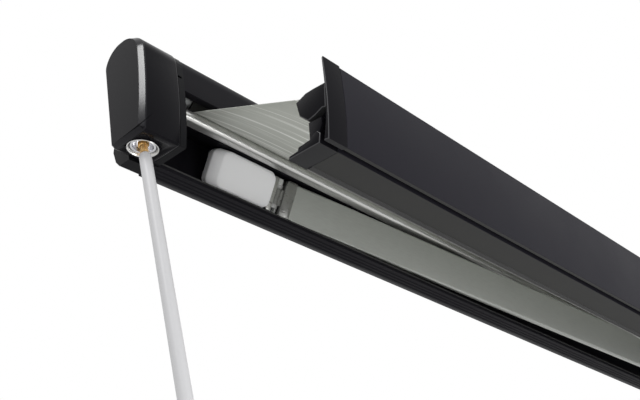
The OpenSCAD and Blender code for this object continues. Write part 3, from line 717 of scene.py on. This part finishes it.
# %% Sizes of the cassette
LEFT_END = -1300.0
COVER_INNER = LEFT_END + 52.0
PLATE_OUTER = COVER_INNER + 0.3
PLATE_INNER = PLATE_OUTER + 8.5
BOTTOM = -60.0
TOP = 100.0
CROWN_R = 44.0
HEEL_R = 25.0
CROWN = (-34.0, TOP - CROWN_R)
HEEL = (-25.0, TOP - HEEL_R)
CROWN_END = 166
FRONT_FOOT = (-101.0, BOTTOM + 2.0)
FRONT_TOP = (CROWN[0] + CROWN_R * math.cos(math.radians(CROWN_END)),
             CROWN[1] + CROWN_R * math.sin(math.radians(CROWN_END)))
FRONT_PULL = (-96.8, -4.0)
print("cassette", TOP - BOTTOM, "mm high")

# %% [markdown]
# The hood curls over the wound fabric and ends in a lip. The same sheet runs down the wall
# and forward into a lower lip with ribs. The outline is walked once along the outer face,
# then back beside it at the thickness of the sheet, so one sweep makes the whole extrusion.

# %% Casing
CASING_WALL = 2.4
BELOW_COVER = 1.5
RIB_PITCH = 7
RIB_DEPTH = 0.8
hood_front = beside(bend(FRONT_TOP, FRONT_PULL, FRONT_FOOT, 0.1, 0.27, 10), BELOW_COVER)
lip_y, lip_z = hood_front[-1]
casing_path = (
    [(lip_y + 10.5, lip_z + 3.4), (lip_y + 11, lip_z + 0.2), (lip_y + 1.2, lip_z - 0.8)]
    + hood_front[::-1]
    + arc(CROWN, CROWN_R - BELOW_COVER, 90, CROWN_END, 40)[::-1]
    + arc(HEEL, HEEL_R - BELOW_COVER, 0, 90, 30)[::-1]
    + [(0, 61), (0, -42), (-5, -54), (-16, BOTTOM + BELOW_COVER), (-22, BOTTOM)]
)
for rib in range(3):
    start = -24 - RIB_PITCH * rib
    casing_path += [(start, BOTTOM), (start - 1, BOTTOM + RIB_DEPTH),
                    (start - 3, BOTTOM + RIB_DEPTH), (start - 4, BOTTOM)]
casing_path += [(-47.5, BOTTOM), (-48.5, BOTTOM + 4)]
casing = extrude("casing_shell", wall(casing_path, -CASING_WALL), PLATE_INNER, CASING_COAT)
round_edges(casing, "soft_edge", 0.35, 2, 35.0)
stand_for(casing, "cassette", "anthracite_aluminium")

# %% [markdown]
# A shelf inside the casing slopes down towards the front and carries the fabric guide. The
# arms fold away under it. It follows the slope of the arms' plane, which many of the later
# pieces share.

# %% Shelf over the arms
SLOPE = math.radians(23.0)
SHELF_RISE = 29.0
SHELF_BACK = -2.4
SHELF_FRONT = -50


def shelf_z(y):
    """Height of the shelf's lower face at a distance from the wall."""
    return (SHELF_RISE + y * math.sin(SLOPE)) / math.cos(SLOPE)


shelf_outline = [
    (SHELF_BACK, shelf_z(SHELF_BACK)), (SHELF_FRONT, shelf_z(SHELF_FRONT)),
    (SHELF_FRONT, shelf_z(SHELF_FRONT) + CASING_WALL),
    (SHELF_BACK, shelf_z(SHELF_BACK) + CASING_WALL),
]
shelf = extrude("casing_shelf", shelf_outline, PLATE_INNER, CASING_COAT)
round_edges(shelf, "soft_edge", 0.3, 2, 35.0)
stand_for(shelf, "cassette", "anthracite_aluminium", "casing")

# %% [markdown]
# ## Fabric guide
# A round anodised nose turns the fabric from the roll towards the lead rail. It shows as a
# bright line under the fabric all along the awning. Its tail clips onto the shelf.

# %% Fabric guide
GUIDE = (-58.5, 18.2)
GUIDE_R = 7.0
TAIL_END = -38
guide_outline = arc(GUIDE, GUIDE_R, 60, 268, 60) + [
    (SHELF_FRONT, GUIDE[1] - GUIDE_R + 0.2), (SHELF_FRONT, shelf_z(SHELF_FRONT) + CASING_WALL),
    (TAIL_END, shelf_z(TAIL_END) + CASING_WALL), (TAIL_END, shelf_z(TAIL_END) + CASING_WALL + 2),
    (SHELF_FRONT, GUIDE[1])]
guide = extrude("guide_nose", guide_outline, PLATE_INNER, SILVER, 40.0)
stand_for(guide, "cassette", "bright_aluminium", "fabric_guide")

# %% [markdown]
# ## End covers
# A cover is a deep moulded cap. Its outline is the casing's own, and towards the outer face
# it draws in through a broad chamfer: widely at the front and below, barely at the back.
# Rings of the same outline build that edge with even spacing, which a bevel modifier would
# not give on such a mixed outline.

# %% Outline of the end covers
cover_outline = (
    [(-45.5, BOTTOM), (-41.5, BOTTOM + 2)]
    + arc(HEEL, HEEL_R, -18, 90, 36)
    + arc(CROWN, CROWN_R, 90, CROWN_END, 40)
    + bend(FRONT_TOP, FRONT_PULL, FRONT_FOOT, 0.1, 1.0, 30)
    + [(-99.0, BOTTOM)]
)
EXTRA_AT_FRONT = 6
EXTRA_BELOW = 2
# Each pair is a depth from the outer face and the share of the chamfer that is left there.
CHAMFER = [(0.0, 1.0), (0.1, 0.985), (0.3, 0.955), (0.6, 0.91), (4.6, 0.16), (5.1, 0.08),
           (5.6, 0.03), (6.3, 0.0)]
# Each pair is a distance from the cover's inner end and how far the outline is drawn in.
INNER_ROUND = [(1.6, 0.0), (0.8, 0.3), (0.3, 0.8), (0.0, 1.5)]


def drawn_in(outline, share):
    """The outline moved inwards: widely at the front and below, and barely at the back."""
    moved = []
    for (y, z), (y1, z1) in zip(outline, beside(outline, 1.0, closed=True)):
        ny, nz = y - y1, z - z1
        length = math.hypot(ny, nz)
        front, below = max(0.0, -ny / length), max(0.0, -nz / length)
        d = share * (1 + EXTRA_AT_FRONT * front + EXTRA_BELOW * below)
        moved.append((y - d * ny, z - d * nz))
    return moved


def cover_rings(side):
    """The rings of a cover, from its outer face to its inner end."""
    face = drawn_in(cover_outline, 1.0)
    rings = [(side * -LEFT_END, beside(face, 0.9, closed=True))]
    for depth, share in CHAMFER:
        rings.append((side * (-LEFT_END - depth), drawn_in(cover_outline, share)))
    for back, inward in INNER_ROUND:
        outline = beside(cover_outline, inward, closed=True)
        rings.append((side * (-COVER_INNER + back), outline))
    return rings


print("cover", len(cover_outline), "points round")

# %% [markdown]
# The crank's eye sits in a pocket in the left cover's underside. A boolean modifier would
# stay on the piece, so the helper reads the cut mesh back and drops the modifier. The
# right cover is the same moulding without the pocket.

# %% End covers
CRANK = (-1275.0, -68.0)
EYE_R = 17.5


def drill(piece, centre, radius, z0, z1):
    """Cut an upright round pocket out of a piece, so that no modifier stays on it."""
    circle = arc((0, 0), radius, 0, 356.25, 95)
    loops = [[((centre[0] + x) * MM, (centre[1] + y) * MM, z * MM) for x, y in circle]
             for z in (z0, z1)]
    cutter = loft("cutter", loops, piece.data.materials[0], 30.0)
    pocket = piece.modifiers.new("pocket", "BOOLEAN")
    pocket.object = cutter
    pocket.operation = "DIFFERENCE"
    pocket.solver = "EXACT"
    bpy.context.view_layer.update()
    cut = piece.evaluated_get(bpy.context.evaluated_depsgraph_get())
    drilled = bpy.data.meshes.new_from_object(cut)
    piece.modifiers.remove(pocket)
    piece.data = drilled
    bpy.data.objects.remove(cutter)


winder_cover = sweep("winder_end_cover", cover_rings(-1), COWL, 35.0)
finish_where(winder_cover, COWL_EDGE, bright_edge)
drill(winder_cover, CRANK, EYE_R, BOTTOM - 3, BOTTOM + 24)
stand_for(winder_cover, "cassette", "black_plastic", "winder_cover")
idler_cover = sweep("idler_end_cover", cover_rings(1), COWL, 35.0)
finish_where(idler_cover, COWL_EDGE, bright_edge)
stand_for(idler_cover, "cassette", "black_plastic", "idler_cover")

# %% [markdown]
# ## Lead rail
# The rail's front panel is gently bowed, and behind it lie a hook, the channel for the arms
# and a foot. It is drawn closed, against the cassette. Every point then moves down the slope
# by the 239 mm that the awning stands open, and 4 mm up, where the open rail sits.

# %% Outline of the rail
OPENED = 239.0
RAIL_RAISE = 4.0
RAIL_END = PLATE_INNER + 0.7
PANEL_TOP = (-95.0, BOTTOM - 1.5 + 99.0)
PANEL_PULL = (-104, -14)
PANEL_FOOT = (-103.5, BOTTOM - 1.5)
HOOK = [(-82.5, 5), (-72, 5), (-58.5, 0), (-64, -18), (-76, -29)]
FOOT = [(-78, -51), (-63, -52.5), (-62, -56), (-51, -57), (-49.5, -60.5), (-91.4, -60.5),
        (-92.4, -50)]
behind_panel = [(-98, 4)] + HOOK + FOOT + [(-96.4, -50), (-97.4, -60)]
# The share of the panel's curve by which the profile stays below the end caps.
BELOW_CAP = 0.02


def opened(outline):
    """An outline of the closed rail, moved to where the awning stands open."""
    return [(y - OPENED * math.cos(SLOPE), z - OPENED * math.sin(SLOPE) + RAIL_RAISE)
            for y, z in outline]


panel = bend(PANEL_TOP, PANEL_PULL, PANEL_FOOT, 0, 1, 40)
rail_outline = opened(panel[::-1] + [(-91.8, 38.1)] + behind_panel)
low_panel = bend(PANEL_TOP, PANEL_PULL, PANEL_FOOT, BELOW_CAP, 1, 40)
low_back = (low_panel[0][0] + 2.6, low_panel[0][1] + 0.3)
profile_outline = opened(low_panel[::-1] + [low_back] + behind_panel)
print("rail", len(rail_outline), "points round")

# %% [markdown]
# The profile runs between the end caps. Its underside is matt and rougher than the panel,
# and its lighter colour is painted light from below, so the faces that look down get a
# material of their own. A rubber bead lies under the foot's lip, and a strip of bright metal
# along its edge is a painted highlight: the thin light line along the lip.

# %% Lead rail
CAP = 24.0
PROFILE_END = RAIL_END + CAP
BEAD = [(-57.5, -60.4), (-52, -60.4), (-52, -61.3), (-52.8, -61.55), (-57, -61.3)]
# A strip of bright metal along the bead's edge paints the thin highlight line at the lip.
BEAD_HIGHLIGHT = [(-51.8, -60.3), (-50.3, -60.3), (-50.3, -61.2), (-50.7, -61.6), (-51.5, -61.6)]
rail = extrude("lead_rail_profile", profile_outline, PROFILE_END, ANTHRACITE)
finish_where(rail, UNDERSIDE_PAINTED_LIGHT, faces_down)
round_edges(rail, "soft_edge", 0.5, 3, 35.0)
stand_for(rail, "lead_rail", "anthracite_aluminium", "lead_profile")
bead = extrude("lip_bead", opened(BEAD), PROFILE_END, RUBBER)
stand_for(bead, "lead_rail", "seal_rubber", "lip_strip")
bead_highlight = extrude("lip_painted_highlight", opened(BEAD_HIGHLIGHT), PROFILE_END, BAND)
stand_for(bead_highlight, "lead_rail", "seal_rubber")

# %% [markdown]
# The rail's end caps wrap 24 mm of the profile and stand a little proud of its upper edge.
# Their outer face is moulded in steps: the edge of the front panel, the hook, the web and the
# foot stand out to the full width, and the ground between them lies 7 mm deeper, so that a
# dark slot opens under the hook. Each step is a run of rings that round over at its face.
# The ground is a hair smaller than the steps, so that no two faces share one place.

# %% Steps of the rail's end caps
SLOT_DEPTH = 7.0
GROUND_GAP = 0.12
# A step's outline, how deep its face lies and how softly its edge rounds over.
CAP_STEPS = {
    "edge": (panel[::-1] + [(-93.4, 36.0), (-96.6, 10), (-99.2, -14), (-99.2, -40),
                            (-97.0, -60.5)], 0.0, 1.3),
    "hook": ([(-98.4, 4)] + HOOK + [(-86, -26.8), (-91, -24.6), (-94.5, -23.2),
                                    (-99.4, -24.4)], 0.0, 1.3),
    "web": ([(-76.2, -31.4), (-78, -51), (-79, -55), (-89, -55), (-91.6, -46), (-94.0, -40),
             (-93.4, -32.6)], 0.4, 0.9),
    "foot": (FOOT + [(-88, -45.5), (-82, -47.5)], 0.0, 1.3),
}


def cap_rings(side, outline, depth, soft, gap=0.0):
    """Rings from a step's rounded face to the cap's inner end."""
    edge = [(depth, 0.75 * soft), (depth + 0.15 * soft, 0.4 * soft),
            (depth + 0.5 * soft, 0.1 * soft), (depth + 1.0 * soft, 0.0),
            (CAP - 0.5, 0.0), (CAP - 0.1, 0.3), (CAP, 0.6)]
    return [(side * (RAIL_END + d), inside(outline, inward + gap)) for d, inward in edge]


def lit_edge(normal):
    """The rounded edges of a cap that face forwards or down."""
    return bright_edge(normal) and min(normal.y, normal.z) < -0.25


print("cap steps", list(CAP_STEPS))

# %% [markdown]
# Each cap is its ground and four steps, all of one black plastic. Faces that look down get
# a lighter colour, painted light from below, and rounded edges that look forwards or down
# get a lighter one, a painted highlight. Both caps come from one loop, because they are
# mirror images.

# %% Lead rail end caps
for side, name in SIDES:
    ground = cap_rings(side, rail_outline, SLOT_DEPTH, 1.0, GROUND_GAP)
    cap = sweep(f"lead_end_cap_{name}", ground, COWL, 28.0)
    finish_where(cap, CAP_UNDER_PAINTED_LIGHT, faces_down)
    stand_for(cap, "lead_rail", "black_plastic", f"lead_cap_{name}")
    for step, (outline, depth, soft) in CAP_STEPS.items():
        rings = cap_rings(side, opened(outline), depth, soft)
        face = sweep(f"{name}_cap_{step}", rings, COWL, 28.0)
        finish_where(face, CAP_UNDER_PAINTED_LIGHT, faces_down)
        if step != "web":
            finish_where(face, CAP_EDGE_HIGHLIGHT, lit_edge)
        stand_for(face, "lead_rail", "black_plastic")

# %% [markdown]
# ## Shoulders
# The arms lie in a plane that slopes down from the wall by 23 degrees. Pieces there are drawn
# flat, with X along the awning, Y towards the wall and Z square to the slope, and one helper
# turns them into place. The far end of the awning is the mirror image.

# %% Places in the arms' plane
SHOULDER = (-1040.0, -23.0)
SWING = math.radians(6.8328)


def in_arm_plane(point, side, swing=0.0):
    """A point given from the shoulder's pin, turned into the frame in metres."""
    x, y, z = point
    sine, cosine = math.sin(-swing), math.cos(-swing)
    x, y = x * cosine - y * sine, x * sine + y * cosine
    y += SHOULDER[1]
    y, z = y * math.cos(SLOPE) - z * math.sin(SLOPE), y * math.sin(SLOPE) + z * math.cos(SLOPE)
    return (side * (SHOULDER[0] + x) * MM, y * MM, z * MM)


def rounded(x0, x1, z0, z1, r, n=6):
    """A rectangle in X and Z with rounded corners."""
    r = max(0.2, min(r, (x1 - x0) / 2 - 0.1, (z1 - z0) / 2 - 0.1))
    return (arc((x1 - r, z1 - r), r, 0, 90, n) + arc((x0 + r, z1 - r), r, 90, 180, n)
            + arc((x0 + r, z0 + r), r, 180, 270, n) + arc((x1 - r, z0 + r), r, 270, 360, n))


print("arm plane ready")

# %% [markdown]
# A pale moulding covers each shoulder bracket. It is a cushion of rounded rectangles, one
# in front of the other: each is a little smaller towards the front, and the end that faces
# the crank draws in much more, which leaves the broad soft facet of the real one.

# %% Shoulder covers
MOULDING_X = (-112, -12)
MOULDING_Z = (-25, 28)
MOULDING_R = 12.0
# Each row is a place along Y, how far all sides are drawn in, and the facet's share.
CUSHION = [(7.5, 0.6, 0.0), (7.0, 0.0, 0.0), (0.0, 0.0, 0.0), (-1.4, 0.0, 0.1),
           (-2.6, 0.0, 0.4), (-3.4, 0.1, 1.0), (-12.2, 1.2, 8.6), (-13.0, 2.0, 9.8),
           (-13.5, 3.2, 11.4), (-13.85, 5.0, 13.4), (-14.0, 7.6, 15.6)]
for side, name in SIDES:
    loops = []
    for y, inward, facet in CUSHION:
        shape = rounded(MOULDING_X[0] + inward + facet, MOULDING_X[1] - inward,
                        MOULDING_Z[0] + inward, MOULDING_Z[1] - inward, MOULDING_R)
        loops.append([in_arm_plane((x, y, z), side) for x, z in shape])
    cover = loft(f"{name}_shoulder_moulding", loops, PALE, 40.0)
    stand_for(cover, "cassette", "pale_plastic", f"{name}_shoulder_cover")

# %% [markdown]
# Between the moulding and the arm a bright strap of the bracket shows, with a rivet in it,
# and then the band that clamps the arm's profile. Both are folded sheet, so they get rounded
# ends and thin edges. The strap stays thin, because the wrist folds in front of it when the
# awning closes, and the band swings with the arm.

# %% Straps, rivets and bands
CORNER_R = 3.0


def block(name, side, swing, x, y, z, material):
    """A flat piece with rounded corners and a softened front, from its ranges."""
    back, front = y[1], y[0]
    loops = []
    for depth, inward in ((back, 0.5), (back - 0.4, 0.0), (front + 0.7, 0.0),
                          (front + 0.2, 0.3), (front, 0.8)):
        shape = rounded(x[0] + inward, x[1] - inward, z[0] + inward, z[1] - inward, CORNER_R)
        loops.append([in_arm_plane((px, depth, pz), side, swing) for px, pz in shape])
    return loft(name, loops, material)


def rivet(name, side, place, r, material):
    """A low domed head on a face that looks forwards."""
    x, y, z = place
    loops = []
    for depth, radius in ((1.0, r), (0.0, r), (-0.5, r * 0.92), (-0.9, r * 0.7), (-1.1, r * 0.35)):
        loops.append([in_arm_plane((x + px, y + depth, z + pz), side)
                      for px, pz in arc((0, 0), radius, 0, 337.5, 15)])
    return loft(name, loops, material)


STRAP_FRONT = -8.95
for side, name in SIDES:
    strap = block(f"{name}_shoulder_strap", side, 0.0, (-14.0, -5.2), (STRAP_FRONT, -7.4),
                  (-23.0, 25.0), STRAP)
    stand_for(strap, "cassette", "cast_aluminium")
    head = rivet(f"{name}_strap_rivet", side, (-12.6, STRAP_FRONT, 4.0), 2.0, STEEL)
    stand_for(head, "cassette", "polished_steel")
    band = block(f"{name}_arm_band", side, SWING, (9.7, 26.9), (-8.9, 7.0), (-26.6, 26.6), BAND)
    stand_for(band, f"{name}_upper_arm", "cast_aluminium")

# %% [markdown]
# ## Crank
# The rod hooks into a bright eye under the cover. The eye is turned from one profile: a thin
# rim stands proud of the cover, and inside it a funnel leads up to the shaft's cup. A turned
# piece needs only its profile and a step round the axis.

# %% Crank eye
EYE_PROFILE = [(EYE_R, 5.9), (EYE_R, 0.2), (18.1, -0.1), (18.2, -0.7), (17.9, -1.15),
               (17.3, -1.1), (16.9, -0.6), (16.0, 1.4), (14.75, 5.4), (14.75, 5.9)]


def turned(name, profile, place, material, steps=64, smooth_angle=35.0):
    """Revolve a closed profile of (radius, height); `place` turns x, y, z into the frame."""
    bm = bmesh.new()
    columns = []
    for k in range(steps):
        a = 2 * math.pi * k / steps
        columns.append([bm.verts.new(place(r * math.cos(a), r * math.sin(a), h))
                        for r, h in profile])
    for here, there in zip(columns, columns[1:] + columns[:1]):
        for i in range(len(profile)):
            j = (i + 1) % len(profile)
            bm.faces.new((here[i], there[i], there[j], here[j]))
    return mesh_object(name, bm, material, smooth_angle)


def under_cover(x, y, z):
    """A place given from the crank's axis at the cover's underside."""
    return ((CRANK[0] + x) * MM, (CRANK[1] + y) * MM, (BOTTOM + z) * MM)


eye = turned("crank_eye", EYE_PROFILE, under_cover, EYE)
stand_for(eye, "cassette", "polished_steel", "eye_collar")

# %% [markdown]
# The rod is a long enamelled tube with a tapered end where the brass hook comes out. It
# leans out from the wall, so its profile is turned about its own axis and then tilted.
# Rings every 60 mm keep its faces short.

# %% Crank rod
LEAN = math.radians(21.0)
ROD_R = 7.0
ROD_END = -1197.0
RING_PITCH = 60.0


def on_rod(x, y, z):
    """A place given along the leaning rod."""
    y, z = y * math.cos(LEAN) + z * math.sin(LEAN), -y * math.sin(LEAN) + z * math.cos(LEAN)
    return ((CRANK[0] + x) * MM, (CRANK[1] + y) * MM, (BOTTOM + 5 + z) * MM)


taper = [(4.85, -18.0), (5.5, -18.2), (6.3, -19.2), (6.8, -21.0), (6.95, -23.0), (ROD_R, -26.0),
         (ROD_R, -40.0)]
shaft = [(ROD_R, -40.0 - RING_PITCH * k) for k in range(1, 19)] + [(ROD_R, -1196.0)]
bore = [(6.6, ROD_END), (5.8, ROD_END), (5.8, -60.0), (4.85, -47.0)]
rod = turned("crank_tube", taper + shaft + bore, on_rod, WHITE, 48)
stand_for(rod, "crank", "white_tube", "crank_rod")

# %% [markdown]
# ## Canopy
# The fabric comes off the roll, bends over the guide and runs straight down the slope to
# the lead rail, pulled flat by the spring arms. First its side view is drawn as a line.

# %% The canopy's line
SHEET_X = -LEFT_END - 92.0
THICK = 0.8
ROLL = (-36.8, 58.0)
ROLL_R = 28.5
STRAIGHT_FROM = -62
ROWS = 40
over = GUIDE_R + 0.7
leave = (GUIDE[0] - over * math.sin(SLOPE), GUIDE[1] + over * math.cos(SLOPE))
rail_joint_y = PANEL_TOP[0] - 1.4 - OPENED * math.cos(SLOPE)


def on_slope(y):
    """The point of the fabric's straight run at a distance from the wall."""
    return (y, leave[1] + (y - leave[0]) * math.tan(SLOPE))


roll_foot = (ROLL[0], ROLL[1] - ROLL_R - THICK)
cloth_line = bend(roll_foot, on_slope(GUIDE[0] + 0.9), on_slope(STRAIGHT_FROM), 0, 1, 10)
for row in range(1, ROWS + 1):
    cloth_line.append(on_slope(STRAIGHT_FROM + (rail_joint_y - STRAIGHT_FROM) * row / ROWS))

# %% [markdown]
# The canopy is one sheet: a grid of the line's points, with a solidify modifier for its
# thickness.

# %% Canopy
COLUMNS = 60
bm = bmesh.new()
grid = []
for column in range(COLUMNS + 1):
    x = -SHEET_X + 2 * SHEET_X * column / COLUMNS
    grid.append([bm.verts.new((x * MM, y * MM, z * MM)) for y, z in cloth_line])
for left, right in zip(grid, grid[1:]):
    for k in range(len(cloth_line) - 1):
        bm.faces.new((left[k], left[k + 1], right[k + 1], right[k]))
canopy = mesh_object("canopy", bm, CLOTH, 60.0)
canopy.modifiers.new("cloth_thickness", "SOLIDIFY").thickness = THICK * MM
canopy.modifiers["cloth_thickness"].offset = 0.0
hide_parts("fabric", "fabric_tail")
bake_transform(canopy)
print("canopy", len(canopy.data.vertices), "vertices")

# %% [markdown]
# ## Floor
# The photograph shows no ground. A pale plane below the crank gives other views a place to
# stand on and soft light from below. It is only a stage and no part of the awning.

# %% Floor
FLOOR_HALF = 6.0
bm = bmesh.new()
bmesh.ops.create_grid(bm, x_segments=1, y_segments=1, size=FLOOR_HALF)
floor_material = new_material("pale_floor", (0.9, 0.9, 0.9), 0.9, specular=0.1)
floor = mesh_object("floor", bm, floor_material)
floor.location = (0.0, 0.0, cad_box[0][2] - 0.02)
print("floor at", round(floor.location.z, 3))

# %% [markdown]
# ## Finish
# The view layer is brought up to date.

# %% Sizes
bpy.context.view_layer.update()
